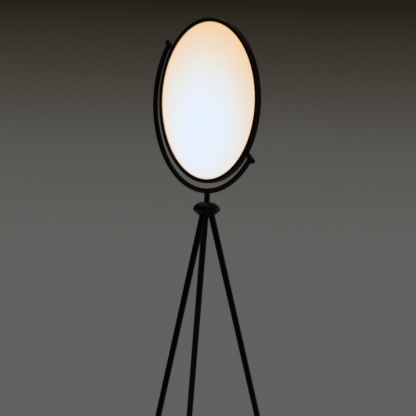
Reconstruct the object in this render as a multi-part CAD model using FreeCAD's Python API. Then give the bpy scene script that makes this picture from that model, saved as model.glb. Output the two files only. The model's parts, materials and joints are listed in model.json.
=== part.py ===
import FreeCAD, Part
import math
import os

# Tripod floor lamp: a flat edge-lit disc held by two inclined pivots in a half-ring yoke,
# on a short stem that turns in a domed hub with three tapered tubular legs.
# Millimetres. Z is up, the lit face looks towards -Y, and the origin is on the floor
# on the vertical axis of the stem.

V = FreeCAD.Vector
UP = V(0, 0, 1)
FRONT = V(0, -1, 0)

# ---------------------------------------------------------------- driving dimensions
# Head
DISC_R = 200.0
HEAD_T = 13.0
BEZEL_FACE_W = 9.4
BEZEL_RECESS = 3.3
BEZEL_WALL = 2.4
EDGE_FILLET = 0.6
DIFFUSER_T = 2.0
DIFFUSER_LAP = 1.2
GUIDE_T = 3.0
GUIDE_INSET = 4.6
REFLECTOR_T = 0.5
PAN_T = 1.2
PAN_FIT = 0.2
PAN_SCREW_COUNT = 8
PAN_SCREW_START = 17.5
PAN_SCREW_D = 2.5
PAN_SCREW_HEAD_D = 4.4
PAN_SCREW_L = 6.0
PAN_POST_R = 2.2
PAN_POST_AIR = 0.4
CHIP_COUNT = 72
CHIP_DEPTH = 0.9
CHIP_W = 3.4
CHIP_H = 2.4
CHIP_AIR = 0.2
STRIP_T = 1.0
CARRIER_T = 1.6
HEAD_TURN = -1.3

# Pivots between head and yoke
PIVOT_TILT = 40.0
PIVOT_SCREW_D = 6.0
PIVOT_BORE_D = 3.0
PIVOT_HEAD_D = 8.4
PIVOT_HEAD_T = 2.0
BOSS_W = 16.0
BOSS_SIDE_AIR = 0.4
BARREL_OVER_TUBE = 0.2
BARREL_BORE_D = 9.4
BARREL_START = 3.0
UPPER_BARREL_PROUD = 2.1
LOWER_BARREL_PROUD = 5.6
BUSH_L = 9.0
PIVOT_WASHER_R = 5.7
CAP_HEAD_T = 2.5
CAP_PLUG_L = 4.0
CAP_ROUND = 1.8

# Yoke and stem
YOKE_GAP = 12.6
YOKE_TUBE_R = 6.3
YOKE_WALL = 1.5
STEM_R = 7.0
STEM_BORE_D = 5.0
STEM_EXPOSED = 20.1
SADDLE_DROP = 2.0
SPIGOT_R = 5.0
SPIGOT_PROUD = 0.5

# Hub, heights measured from the plane of its rim
HUB_RIM_Z = 1135.4
HUB_RIM_R = 33.1
DOME_TOP_R = 8.0
DOME_H = 19.3
DOME_WALL = 3.0
DOME_TOP_T = 5.0
DOME_REGISTER_H = 3.0
DOME_REGISTER_W = 3.7
RIM_LAND = 0.8
HUB_DEPTH = 14.2
HUB_BOTTOM_R = 18.0
HUB_BULGE_Z = 6.5
HUB_BULGE_R = 27.2
SWIVEL_BUSH_WALL = 1.5
SWIVEL_FLANGE_T = 1.0
SWIVEL_FLANGE_R = 7.5
STOP_WASHER_T = 1.0
STOP_WASHER_R = 8.5
STOP_TAB_W = 2.4
STOP_TAB_REACH = 11.4
STOP_WASHER_AIR = 0.6
STOP_PIN_D = 2.5
STOP_PIN_R = 11.2
STOP_PIN_L = 3.6
SWIVEL_NUT_AF = 15.0
SWIVEL_NUT_T = 4.0

# Legs
LEG_TILT = 14.85
LEG_AZIMUTHS = {"leg_right": 35.2, "leg_left": 155.2, "leg_front": 275.2}
LEG_WEB = 3.1
LEG_SEAT_DEPTH = 7.0
LEG_TOP_RADIUS = 7.9
LEG_FOOT_RADIUS = 6.2
LEG_WALL = 1.5
LEG_PLUG_L = 20.0
NIPPLE_R = 5.0
NIPPLE_BORE_R = 3.5
NIPPLE_REACH = 15.0
FOOT_H = 14.0
FOOT_LIP = 0.9
FOOT_PLUG_L = 16.0
FOOT_SHOULDER = 3.0

# Cable entry and wire
GLAND_Z = 90.0
GLAND_CORD_R = 2.8
GLAND_BODY_R = 5.0
GLAND_NECK_R = 4.0
GLAND_PROUD = 9.0
GLAND_INNER = 1.5
GLAND_ROUND = 1.2
WIRE_R = 1.0
WIRE_BEND_R = 5.0
WIRE_TURN_R = 2.4
WIRE_TAIL_GAP = 12.0

# Named clearances
TURN_GAP = 0.35
RUNNING = 0.05
WIRE_GAP = 0.8
WIRE_AIR = 0.1

# ---------------------------------------------------------------- sizes that follow
HALF_T = HEAD_T / 2
OPENING_R = DISC_R - BEZEL_FACE_W
CAVITY_R = DISC_R - BEZEL_WALL
DIFFUSER_R = OPENING_R + DIFFUSER_LAP
GUIDE_R = OPENING_R - GUIDE_INSET
CHIP_R = GUIDE_R + CHIP_AIR
STRIP_R = CHIP_R + CHIP_DEPTH
CARRIER_R = STRIP_R + STRIP_T
PAN_R = CAVITY_R - PAN_FIT
PAN_POST_AT = DIFFUSER_R + PAN_POST_AIR + PAN_POST_R
DIFFUSER_Y = -HALF_T + BEZEL_RECESS
GUIDE_Y = DIFFUSER_Y + DIFFUSER_T
REFLECTOR_Y = GUIDE_Y + GUIDE_T
PAD_Y = REFLECTOR_Y + REFLECTOR_T
PAN_Y = HALF_T - PAN_T
BOSS_R = DIFFUSER_R + BOSS_SIDE_AIR

YOKE_R = DISC_R + YOKE_GAP + YOKE_TUBE_R
BARREL_R = YOKE_TUBE_R + BARREL_OVER_TUBE
TUBE_OUTSIDE = YOKE_GAP - BARREL_START + 2 * YOKE_TUBE_R
UPPER_BARREL_L = TUBE_OUTSIDE + UPPER_BARREL_PROUD
LOWER_BARREL_L = TUBE_OUTSIDE + LOWER_BARREL_PROUD
DOME_TOP_Z = HUB_RIM_Z + DOME_H
YOKE_BOTTOM_Z = DOME_TOP_Z + STEM_EXPOSED
DISC_Z = YOKE_BOTTOM_Z + YOKE_TUBE_R + YOKE_R
CENTRE = V(0, 0, DISC_Z)
UPPER_ANGLE = 180.0 - PIVOT_TILT
LOWER_ANGLE = UPPER_ANGLE + 180.0
PIVOT_AXIS = V(-math.cos(math.radians(PIVOT_TILT)), 0, math.sin(math.radians(PIVOT_TILT)))

BARREL_FROM = DISC_R + BARREL_START
SCREW_HEAD_AT = BARREL_FROM + BUSH_L + TURN_GAP

LEG_SEAT_R = (2 * LEG_TOP_RADIUS + LEG_WEB) / (2 * math.sin(math.pi / len(LEG_AZIMUTHS)))
LEG_AXIS_R = LEG_SEAT_R - LEG_SEAT_DEPTH * math.tan(math.radians(LEG_TILT))
LEG_DROP = HUB_RIM_Z - LEG_SEAT_DEPTH - FOOT_H
LEG_LENGTH = LEG_DROP / math.cos(math.radians(LEG_TILT))
SPIGOT_TOP_Z = DOME_H + SWIVEL_FLANGE_T + TURN_GAP
STOP_WASHER_TOP = DOME_H - DOME_TOP_T - STOP_WASHER_AIR
SPIGOT_END_Z = STOP_WASHER_TOP - STOP_WASHER_T - SWIVEL_NUT_T - SPIGOT_PROUD


# ---------------------------------------------------------------- helpers
def save(shape, node):
    """Write one node's solids to its STEP file."""
    shape.exportStep("parts/" + node + ".step")


def save_head(shape, node):
    """Turn a head piece on the pivot axis to where the head stands, and write it."""
    turned = shape.copy()
    turned.rotate(CENTRE, PIVOT_AXIS, HEAD_TURN)
    save(turned, node)


def disc(radius, y_from, thickness):
    """A round plate on the head's axis, from y_from towards the back."""
    return Part.makeCylinder(radius, thickness, V(0, y_from, DISC_Z), V(0, 1, 0))


def ring(outer, inner, y_from, thickness):
    """A flat ring on the head's axis."""
    return disc(outer, y_from, thickness).cut(disc(inner, y_from, thickness))


def tube(outer, inner, start, direction, length):
    """A straight tube from start along direction."""
    wall = Part.makeCylinder(outer, length, start, direction)
    return wall.cut(Part.makeCylinder(inner, length, start, direction))


def radial(angle):
    """The unit vector in the disc's plane at an angle counted from +X towards +Z."""
    turn = math.radians(angle)
    return V(math.cos(turn), 0, math.sin(turn))


def on_pivot(angle, distance):
    """A point on the pivot axis at a distance from the disc's centre."""
    return CENTRE + radial(angle) * distance


def bent_tube(radius, start_angle, end_angle):
    """A solid bar bent round the yoke's centre line between two angles."""
    start = on_pivot(start_angle, YOKE_R)
    tangent = V(0, 1, 0).cross(radial(start_angle))
    section = Part.Face(Part.Wire([Part.makeCircle(radius, start, tangent)]))
    return section.revolve(CENTRE, V(0, -1, 0), end_angle - start_angle)


def turned(points_and_arcs):
    """Revolve a closed outline of edges about the vertical axis."""
    outline = Part.Wire(Part.__sortEdges__(points_and_arcs))
    return Part.Face(outline).revolve(V(0, 0, 0), UP, 360)


def line(start, end):
    """A straight edge between two points."""
    return Part.LineSegment(start, end).toShape()


def at_rim(radius, height):
    """A point of a hub outline, its height counted from the rim's plane."""
    return V(radius, 0, HUB_RIM_Z + height)


def quarter_dome(radius, height):
    """A solid whose side is a quarter ellipse that rises from the rim to a flat top."""
    side_half = radius - DOME_TOP_R
    centre = at_rim(DOME_TOP_R, 0)
    if side_half > height:
        ellipse = Part.Ellipse(at_rim(radius, 0), at_rim(DOME_TOP_R, height), centre)
        side = Part.ArcOfEllipse(ellipse, 0, math.pi / 2).toShape()
    else:
        ellipse = Part.Ellipse(at_rim(DOME_TOP_R, height), at_rim(radius, 0), centre)
        side = Part.ArcOfEllipse(ellipse, -math.pi / 2, 0).toShape()
    if abs(side.BoundBox.ZMin - HUB_RIM_Z) > 0.01 or side.BoundBox.XMin < DOME_TOP_R - 0.01:
        raise ValueError("the dome's side is not the quarter above the rim")
    edges = [side]
    edges.append(line(at_rim(DOME_TOP_R, height), at_rim(0, height)))
    edges.append(line(at_rim(0, height), at_rim(0, 0)))
    edges.append(line(at_rim(0, 0), at_rim(radius, 0)))
    return turned(edges)


def rounded_path(points, bend):
    """A wire of straight runs through the points with equal arcs at its corners."""
    edges = []
    last = points[0]
    for corner, after in zip(points[1:-1], points[2:]):
        before_run = (last - corner).normalize()
        after_run = (after - corner).normalize()
        half = before_run.getAngle(after_run) / 2
        reach = bend / math.tan(half)
        start = corner + before_run * reach
        end = corner + after_run * reach
        middle_run = (before_run + after_run).normalize()
        middle = corner + middle_run * (bend / math.sin(half) - bend)
        edges.append(line(last, start))
        edges.append(Part.Arc(start, middle, end).toShape())
        last = end
    edges.append(line(last, points[-1]))
    return Part.Wire(edges)


def wire_along(path, start, direction):
    """The round wire that follows a path."""
    section = Part.Wire([Part.makeCircle(WIRE_R, start, direction)])
    return path.makePipeShell([section], True, True)


# ---------------------------------------------------------------- head
def pan_screw_points(y):
    """The places of the pan's screws, at one depth."""
    points = []
    for index in range(PAN_SCREW_COUNT):
        angle = PAN_SCREW_START + index * 360.0 / PAN_SCREW_COUNT
        points.append(on_pivot(angle, PAN_POST_AT) + V(0, y, 0))
    return points


def pivot_hole(radius, start, length, angle):
    """A cylinder on the pivot axis, used for pins and for their holes."""
    return Part.makeCylinder(radius, length, on_pivot(angle, start), radial(angle))


def make_bezel():
    """The rim: a front lip, a side wall and posts for the pan's screws."""
    body = disc(DISC_R, -HALF_T, HEAD_T)
    outer_edges = [e for e in body.Edges if abs(e.BoundBox.YLength) < 0.01]
    body = body.makeFillet(EDGE_FILLET, outer_edges)
    body = body.cut(disc(OPENING_R, -HALF_T, HEAD_T))
    body = body.cut(disc(CAVITY_R, DIFFUSER_Y, HEAD_T))
    post_h = PAN_Y - DIFFUSER_Y
    for point in pan_screw_points(DIFFUSER_Y):
        body = body.fuse(Part.makeCylinder(PAN_POST_R, post_h, point, V(0, 1, 0)))
    for point in pan_screw_points(PAN_Y - PAN_SCREW_L):
        body = body.cut(Part.makeCylinder(PAN_SCREW_D / 2, PAN_SCREW_L, point, V(0, 1, 0)))
    for angle in (UPPER_ANGLE, LOWER_ANGLE):
        body = body.cut(pivot_hole(PIVOT_SCREW_D / 2, BOSS_R, DISC_R, angle))
    return body


def make_pan_screw(point):
    """One countersunk screw, its head flush with the pan's back."""
    shank = Part.makeCylinder(PAN_SCREW_D / 2, PAN_SCREW_L, point - V(0, PAN_SCREW_L, 0), V(0, 1, 0))
    head = Part.makeCone(PAN_SCREW_D / 2, PAN_SCREW_HEAD_D / 2, PAN_T, point, V(0, 1, 0))
    slot_w = PAN_SCREW_HEAD_D / 6
    slot = Part.makeBox(PAN_SCREW_HEAD_D, PAN_T / 2, slot_w)
    slot.translate(point + V(-PAN_SCREW_HEAD_D / 2, PAN_T / 2, -slot_w / 2))
    return shank.fuse(head).cut(slot)


def make_back_pan():
    """The sheet that closes the head's back, countersunk for its screws."""
    pan = disc(PAN_R, PAN_Y, PAN_T)
    for point in pan_screw_points(PAN_Y):
        pan = pan.cut(Part.makeCone(PAN_SCREW_D / 2, PAN_SCREW_HEAD_D / 2, PAN_T, point, V(0, 1, 0)))
    return pan


def make_led_chips():
    """The light-emitting packages that face the light guide's edge."""
    chips = []
    middle_y = GUIDE_Y + GUIDE_T / 2
    for index in range(CHIP_COUNT):
        angle = index * 360.0 / CHIP_COUNT
        chip = Part.makeBox(CHIP_DEPTH, CHIP_H, CHIP_W)
        chip.translate(V(CHIP_R, middle_y - CHIP_H / 2, DISC_Z - CHIP_W / 2))
        chip = chip.common(disc(STRIP_R, -HALF_T, HEAD_T))
        chip.rotate(CENTRE, V(0, -1, 0), angle)
        chips.append(chip)
    return Part.makeCompound(chips)


def make_led_carrier():
    """The metal band behind the strip, with a hole for the wire."""
    band = ring(CARRIER_R + CARRIER_T, CARRIER_R, GUIDE_Y, PAN_Y - GUIDE_Y)
    return band.cut(pivot_hole(PIVOT_BORE_D / 2, GUIDE_R, DISC_R - GUIDE_R, LOWER_ANGLE))


def make_boss(angle):
    """The block inside the rim that a pivot screw threads into."""
    depth = PAN_Y - DIFFUSER_Y
    block = Part.makeBox(CAVITY_R, depth, BOSS_W)
    block.translate(V(BOSS_R, DIFFUSER_Y, DISC_Z - BOSS_W / 2))
    block = block.common(disc(CAVITY_R, DIFFUSER_Y, depth))
    block.rotate(CENTRE, V(0, -1, 0), angle)
    return block.cut(pivot_hole(PIVOT_SCREW_D / 2, BOSS_R - 1, DISC_R, angle))


def make_pivot_screw(angle, bore):
    """The screw that a head pivot turns on, hollow where the wire passes."""
    shank = pivot_hole(PIVOT_SCREW_D / 2, BOSS_R, SCREW_HEAD_AT - BOSS_R, angle)
    head = pivot_hole(PIVOT_HEAD_D / 2, SCREW_HEAD_AT, PIVOT_HEAD_T, angle)
    screw = shank.fuse(head)
    length = SCREW_HEAD_AT + PIVOT_HEAD_T - BOSS_R
    if bore:
        return screw.cut(pivot_hole(PIVOT_BORE_D / 2, BOSS_R, length, angle))
    half_w = PIVOT_HEAD_D / 8
    slot = Part.makeBox(PIVOT_HEAD_T / 2, 2 * half_w, PIVOT_HEAD_D)
    slot.translate(V(SCREW_HEAD_AT + PIVOT_HEAD_T / 2, -half_w, DISC_Z - PIVOT_HEAD_D / 2))
    slot.rotate(CENTRE, V(0, -1, 0), angle)
    return screw.cut(slot)


def make_diffuser():
    """The opal sheet, clear of the wire that passes behind its edge."""
    sheet = disc(DIFFUSER_R, DIFFUSER_Y, DIFFUSER_T)
    return sheet.cut(pivot_hole(WIRE_R + WIRE_AIR, CARRIER_R, DISC_R - CARRIER_R, LOWER_ANGLE))


def make_head():
    """Every piece that turns with the lit disc."""
    save_head(make_bezel(), "bezel")
    save_head(make_diffuser(), "diffuser")
    save_head(disc(GUIDE_R, GUIDE_Y, GUIDE_T), "light_guide")
    save_head(disc(GUIDE_R, REFLECTOR_Y, REFLECTOR_T), "reflector_sheet")
    save_head(disc(GUIDE_R, PAD_Y, PAN_Y - PAD_Y), "backing_pad")
    save_head(ring(CARRIER_R, STRIP_R, GUIDE_Y, GUIDE_T), "led_strip")
    save_head(make_led_chips(), "led_chips")
    save_head(make_led_carrier(), "led_carrier")
    save_head(make_back_pan(), "back_pan")
    screws = [make_pan_screw(point) for point in pan_screw_points(PAN_Y)]
    save_head(Part.makeCompound(screws), "pan_screws")
    save_head(make_boss(UPPER_ANGLE), "upper_pivot_boss")
    save_head(make_boss(LOWER_ANGLE), "lower_pivot_boss")
    save_head(make_pivot_screw(UPPER_ANGLE, False), "upper_pivot_screw")
    save_head(make_pivot_screw(LOWER_ANGLE, True), "lower_pivot_screw")
    wire_end = YOKE_R - WIRE_R - WIRE_GAP
    wire = pivot_hole(WIRE_R, CARRIER_R, wire_end - CARRIER_R, LOWER_ANGLE)
    save_head(wire, "head_wire")


# ---------------------------------------------------------------- yoke
def make_barrel(angle, length, wire_hole):
    """A pivot barrel, square to the yoke's tube that ends on it."""
    start = on_pivot(angle, BARREL_FROM)
    barrel = tube(BARREL_R, BARREL_BORE_D / 2, start, radial(angle), length)
    if wire_hole:
        tangent = V(0, 1, 0).cross(radial(angle))
        bore = YOKE_TUBE_R - YOKE_WALL
        hole = Part.makeCylinder(bore / 2, BARREL_R * 2, on_pivot(angle, YOKE_R), tangent)
        barrel = barrel.cut(hole)
    return barrel


def make_pivot_bush(angle):
    """The plain bearing in the barrel's inner end."""
    start = on_pivot(angle, BARREL_FROM)
    return tube(BARREL_BORE_D / 2, PIVOT_SCREW_D / 2 + RUNNING, start, radial(angle), BUSH_L)


def make_pivot_washer(angle):
    """The friction washer between the rim and the barrel."""
    start = on_pivot(angle, DISC_R + TURN_GAP)
    thickness = BARREL_START - TURN_GAP
    return tube(PIVOT_WASHER_R, PIVOT_SCREW_D / 2 + RUNNING, start, radial(angle), thickness)


def make_pivot_cap(angle, barrel_length):
    """The round-edged plug that closes a barrel's outer end."""
    end = BARREL_FROM + barrel_length
    head = pivot_hole(BARREL_R, end, CAP_HEAD_T, angle)
    far = max(e.CenterOfMass.distanceToPoint(CENTRE) for e in head.Edges)
    rim = [e for e in head.Edges if e.Closed and e.CenterOfMass.distanceToPoint(CENTRE) > far - 0.1]
    head = head.makeFillet(CAP_ROUND, rim)
    plug = pivot_hole(BARREL_BORE_D / 2, end - CAP_PLUG_L, CAP_PLUG_L, angle)
    return head.fuse(plug)


def make_yoke_arc():
    """The half ring of tube, coped on both barrels and open to the stem below."""
    arc = bent_tube(YOKE_TUBE_R, UPPER_ANGLE, LOWER_ANGLE)
    arc = arc.cut(bent_tube(YOKE_TUBE_R - YOKE_WALL, UPPER_ANGLE, LOWER_ANGLE))
    for angle in (UPPER_ANGLE, LOWER_ANGLE):
        arc = arc.cut(pivot_hole(BARREL_R, BARREL_FROM, BARREL_R * 6, angle))
    bottom = V(0, 0, YOKE_BOTTOM_Z - YOKE_TUBE_R)
    return arc.cut(Part.makeCylinder(STEM_BORE_D / 2, YOKE_TUBE_R * 2, bottom))


def make_stem():
    """The stem, saddled to the yoke's tube, with the spigot that turns in the hub."""
    shoulder = HUB_RIM_Z + SPIGOT_TOP_Z
    top = YOKE_BOTTOM_Z + YOKE_TUBE_R - SADDLE_DROP
    foot = HUB_RIM_Z + SPIGOT_END_Z
    body = Part.makeCylinder(STEM_R, top - shoulder, V(0, 0, shoulder))
    body = body.fuse(Part.makeCylinder(SPIGOT_R, shoulder - foot, V(0, 0, foot)))
    body = body.cut(bent_tube(YOKE_TUBE_R, UPPER_ANGLE, LOWER_ANGLE))
    return body.cut(Part.makeCylinder(STEM_BORE_D / 2, top - foot, V(0, 0, foot)))


def make_stop_washer():
    """The washer keyed to the spigot, whose tab meets the hub's stop pin."""
    z = HUB_RIM_Z + STOP_WASHER_TOP - STOP_WASHER_T
    washer = Part.makeCylinder(STOP_WASHER_R, STOP_WASHER_T, V(0, 0, z))
    tab = Part.makeBox(STOP_TAB_W, STOP_TAB_REACH, STOP_WASHER_T)
    tab.translate(V(-STOP_TAB_W / 2, -STOP_TAB_REACH, z))
    return washer.fuse(tab).cut(Part.makeCylinder(SPIGOT_R, STOP_WASHER_T, V(0, 0, z)))


def make_swivel_nut():
    """The thin hexagon nut under the stop washer."""
    corner_r = SWIVEL_NUT_AF / 2 / math.cos(math.radians(30))
    z = HUB_RIM_Z + STOP_WASHER_TOP - STOP_WASHER_T - SWIVEL_NUT_T
    corners = [V(corner_r, 0, z)]
    for index in range(6):
        turn = math.radians(60 * (index + 1))
        corners.append(V(corner_r * math.cos(turn), corner_r * math.sin(turn), z))
    nut = Part.Face(Part.makePolygon(corners)).extrude(V(0, 0, SWIVEL_NUT_T))
    return nut.cut(Part.makeCylinder(SPIGOT_R, SWIVEL_NUT_T, V(0, 0, z)))


def make_yoke_wire():
    """The wire from the lower barrel, round the yoke and down through the stem."""
    reach = YOKE_R + WIRE_BEND_R
    drop = math.sqrt(reach ** 2 - WIRE_BEND_R ** 2)
    leave = math.degrees(math.atan2(-drop, WIRE_BEND_R)) + 360
    bend_centre = CENTRE + V(WIRE_BEND_R, 0, -drop)
    start = on_pivot(LOWER_ANGLE, YOKE_R)
    leave_point = on_pivot(leave, YOKE_R)
    round_yoke = Part.Arc(start, on_pivot((LOWER_ANGLE + leave) / 2, YOKE_R), leave_point)
    turn_end = CENTRE + V(0, 0, -drop)
    to_middle = (leave_point - bend_centre) + (turn_end - bend_centre)
    turn_middle = bend_centre + to_middle.normalize() * WIRE_BEND_R
    end = V(0, 0, HUB_RIM_Z + SPIGOT_END_Z)
    turn = Part.Arc(leave_point, turn_middle, turn_end)
    path = Part.Wire([round_yoke.toShape(), turn.toShape(), line(turn_end, end)])
    return wire_along(path, start, V(0, 1, 0).cross(radial(LOWER_ANGLE)))


def make_yoke():
    """Every piece that turns with the stem."""
    save(make_yoke_arc(), "yoke_arc")
    sides = (("upper", UPPER_ANGLE, UPPER_BARREL_L), ("lower", LOWER_ANGLE, LOWER_BARREL_L))
    for side, angle, length in sides:
        save(make_barrel(angle, length, side == "lower"), side + "_pivot_barrel")
        save(make_pivot_bush(angle), side + "_pivot_bush")
        save(make_pivot_washer(angle), side + "_pivot_washer")
        save(make_pivot_cap(angle, length), side + "_pivot_cap")
    save(make_stem(), "stem")
    save(make_stop_washer(), "stop_washer")
    save(make_swivel_nut(), "swivel_nut")
    save(make_yoke_wire(), "yoke_wire")


# ---------------------------------------------------------------- hub and legs
def leg_frame(azimuth):
    """The direction down a leg and the point where its axis meets the rim's plane."""
    tilt = math.radians(LEG_TILT)
    turn = math.radians(azimuth)
    out = V(math.cos(turn), math.sin(turn), 0)
    down = out * math.sin(tilt) - UP * math.cos(tilt)
    return out, down, out * LEG_AXIS_R + UP * HUB_RIM_Z


def on_leg(azimuth, height):
    """The point of a leg's axis at a height above the floor."""
    _, down, crossing = leg_frame(azimuth)
    return crossing + down * ((height - crossing.z) / down.z)


def leg_radius(along):
    """A leg's outer radius at a distance down from its top."""
    return LEG_TOP_RADIUS + (LEG_FOOT_RADIUS - LEG_TOP_RADIUS) * along / LEG_LENGTH


def leg_cone(azimuth, start, length, inset):
    """A stretch of the leg's taper, its surface moved inwards by inset."""
    _, down, _ = leg_frame(azimuth)
    top = on_leg(azimuth, HUB_RIM_Z - LEG_SEAT_DEPTH) + down * start
    upper = leg_radius(start) - inset
    lower = leg_radius(start + length) - inset
    return Part.makeCone(upper, lower, length, top, down)


def gland_direction():
    """The level direction in which the cable entry points, square to its leg."""
    turn = math.radians(LEG_AZIMUTHS["leg_left"] - 90)
    return V(math.cos(turn), math.sin(turn), 0)


def make_leg(name, azimuth):
    """One tapered leg tube, with the cable entry's hole in the leg that has it."""
    leg = leg_cone(azimuth, 0, LEG_LENGTH, 0).cut(leg_cone(azimuth, 0, LEG_LENGTH, LEG_WALL))
    if name == "leg_left":
        middle = on_leg(azimuth, GLAND_Z)
        hole = Part.makeCylinder(GLAND_NECK_R, LEG_TOP_RADIUS * 2, middle, gland_direction())
        leg = leg.cut(hole)
    return leg


def make_leg_plug(azimuth):
    """The threaded plug in the top of a leg."""
    plug = leg_cone(azimuth, 0, LEG_PLUG_L, LEG_WALL)
    top = on_leg(azimuth, HUB_RIM_Z - LEG_SEAT_DEPTH)
    _, down, _ = leg_frame(azimuth)
    plug = plug.cut(Part.makeCylinder(NIPPLE_R, NIPPLE_REACH, top, down))
    return plug.cut(Part.makeCylinder(NIPPLE_BORE_R, LEG_PLUG_L, top, down))


def make_nipple(azimuth):
    """The hollow threaded nipple that joins a leg to the hub."""
    _, down, crossing = leg_frame(azimuth)
    length = LEG_SEAT_DEPTH / math.cos(math.radians(LEG_TILT)) + NIPPLE_REACH
    return tube(NIPPLE_R, NIPPLE_BORE_R, crossing, down, length)


def make_foot(azimuth):
    """A rubber foot: a plug in the leg, a collar below it and a flat sole on the floor."""
    _, down, _ = leg_frame(azimuth)
    seat = on_leg(azimuth, FOOT_H)
    bore = LEG_FOOT_RADIUS - LEG_WALL
    collar_r = LEG_FOOT_RADIUS + FOOT_LIP
    plug = Part.makeCylinder(bore, FOOT_PLUG_L, seat - down * FOOT_PLUG_L, down)
    shoulder = Part.makeCone(LEG_FOOT_RADIUS, collar_r, FOOT_SHOULDER, seat, down)
    collar = Part.makeCylinder(collar_r, FOOT_H * 2, seat + down * FOOT_SHOULDER, down)
    floor = Part.makeBox(FOOT_H * 4, FOOT_H * 4, FOOT_H * 4)
    floor.translate(V(seat.x - FOOT_H * 2, seat.y - FOOT_H * 2, -FOOT_H * 4))
    return plug.fuse(shoulder).fuse(collar).cut(floor)


def make_hub_dome():
    """The domed cover that carries the swivel."""
    dome = quarter_dome(HUB_RIM_R, DOME_H)
    dome = dome.cut(quarter_dome(HUB_RIM_R - DOME_WALL, DOME_H - DOME_TOP_T))
    register = Part.makeCylinder(HUB_RIM_R - DOME_WALL, DOME_REGISTER_H, V(0, 0, HUB_RIM_Z))
    bore_r = SPIGOT_R + RUNNING + SWIVEL_BUSH_WALL
    bore = Part.makeCylinder(bore_r, DOME_H, V(0, 0, HUB_RIM_Z))
    return dome.cut(register).cut(bore).cut(make_stop_pin())


def make_stop_pin():
    """The pin pressed in the dome's ceiling that ends the swivel's travel."""
    ceiling = HUB_RIM_Z + DOME_H - DOME_TOP_T
    start = V(0, STOP_PIN_R, ceiling - STOP_PIN_L)
    return Part.makeCylinder(STOP_PIN_D / 2, STOP_PIN_L + DOME_TOP_T / 4, start)


def make_hub_body():
    """The lower half of the hub, with a register for the dome and three leg sockets."""
    shelf = at_rim(HUB_RIM_R, -RIM_LAND)
    bulge = at_rim(HUB_BULGE_R, -HUB_BULGE_Z)
    bottom = at_rim(HUB_BOTTOM_R, -HUB_DEPTH)
    edges = [line(at_rim(0, 0), at_rim(HUB_RIM_R, 0))]
    edges.append(line(at_rim(HUB_RIM_R, 0), shelf))
    edges.append(Part.Arc(shelf, bulge, bottom).toShape())
    edges.append(line(bottom, at_rim(0, -HUB_DEPTH)))
    edges.append(line(at_rim(0, -HUB_DEPTH), at_rim(0, 0)))
    body = turned(edges)
    outer = HUB_RIM_R - DOME_WALL
    register = tube(outer, outer - DOME_REGISTER_W, V(0, 0, HUB_RIM_Z), UP, DOME_REGISTER_H)
    body = body.fuse(register)
    for azimuth in LEG_AZIMUTHS.values():
        _, down, crossing = leg_frame(azimuth)
        through = Part.makeCylinder(NIPPLE_R, HUB_DEPTH * 3, crossing - down * HUB_DEPTH, down)
        body = body.cut(leg_cone(azimuth, 0, HUB_DEPTH * 2, 0)).cut(through)
    return body


def make_swivel_bush():
    """The flanged bearing in the dome's bore that the stem's shoulder sits over."""
    bore_r = SPIGOT_R + RUNNING
    ceiling = HUB_RIM_Z + DOME_H - DOME_TOP_T
    sleeve = Part.makeCylinder(bore_r + SWIVEL_BUSH_WALL, DOME_TOP_T, V(0, 0, ceiling))
    flange = Part.makeCylinder(SWIVEL_FLANGE_R, SWIVEL_FLANGE_T, V(0, 0, HUB_RIM_Z + DOME_H))
    bore = Part.makeCylinder(bore_r, DOME_TOP_T + SWIVEL_FLANGE_T, V(0, 0, ceiling))
    return sleeve.fuse(flange).cut(bore)


def make_gland():
    """The cable entry: a round body on the leg with a neck through its wall."""
    azimuth = LEG_AZIMUTHS["leg_left"]
    along = (HUB_RIM_Z - LEG_SEAT_DEPTH - GLAND_Z) / math.cos(math.radians(LEG_TILT))
    outside = leg_radius(along)
    middle = on_leg(azimuth, GLAND_Z)
    out = gland_direction()
    inner_end = outside - LEG_WALL - GLAND_INNER
    neck = Part.makeCylinder(GLAND_NECK_R, outside - inner_end, middle + out * inner_end, out)
    body = Part.makeCylinder(GLAND_BODY_R, outside + GLAND_PROUD, middle, out)
    body = body.cut(leg_cone(azimuth, 0, LEG_LENGTH, 0))
    far = middle + out * (outside + GLAND_PROUD)
    rim = [e for e in body.Edges if e.Closed and e.CenterOfMass.distanceToPoint(far) < 0.1]
    body = body.makeFillet(GLAND_ROUND, rim)
    shape = body.fuse(neck)
    bore = Part.makeCylinder(GLAND_CORD_R, outside + GLAND_PROUD, middle, out)
    return shape.cut(bore)


def make_leg_wire():
    """The wire from under the stem, over to the left leg and down to the cable entry."""
    azimuth = LEG_AZIMUTHS["leg_left"]
    top = V(0, 0, HUB_RIM_Z + SPIGOT_END_Z - WIRE_GAP)
    under_nut = V(0, 0, HUB_RIM_Z + SPIGOT_END_Z / 2)
    over_leg = on_leg(azimuth, HUB_RIM_Z + DOME_REGISTER_H)
    end = on_leg(azimuth, GLAND_Z + WIRE_TAIL_GAP)
    path = rounded_path([top, under_nut, over_leg, end], WIRE_TURN_R)
    return wire_along(path, top, V(0, 0, -1))


def make_tripod():
    """The hub, its bearing and the three legs."""
    save(make_hub_dome(), "hub_dome")
    save(make_hub_body(), "hub_body")
    save(make_swivel_bush(), "swivel_bush")
    save(make_stop_pin(), "stop_pin")
    for name, azimuth in LEG_AZIMUTHS.items():
        save(make_leg(name, azimuth), name)
        save(make_foot(azimuth), name.replace("leg", "foot"))
    save(Part.makeCompound([make_leg_plug(a) for a in LEG_AZIMUTHS.values()]), "leg_plugs")
    save(Part.makeCompound([make_nipple(a) for a in LEG_AZIMUTHS.values()]), "leg_nipples")
    save(make_gland(), "cable_gland")
    save(make_leg_wire(), "leg_wire")


os.makedirs("parts", exist_ok=True)
make_head()
make_yoke()
make_tripod()
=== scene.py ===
"""The finished look of a tripod floor lamp with a round edge-lit panel in a half-ring yoke.

Sizes are metres in the lamp's own frame: the floor at Z = 0, the stem on the Z axis and
the lit face towards -Y.
"""

from __future__ import annotations

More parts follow.
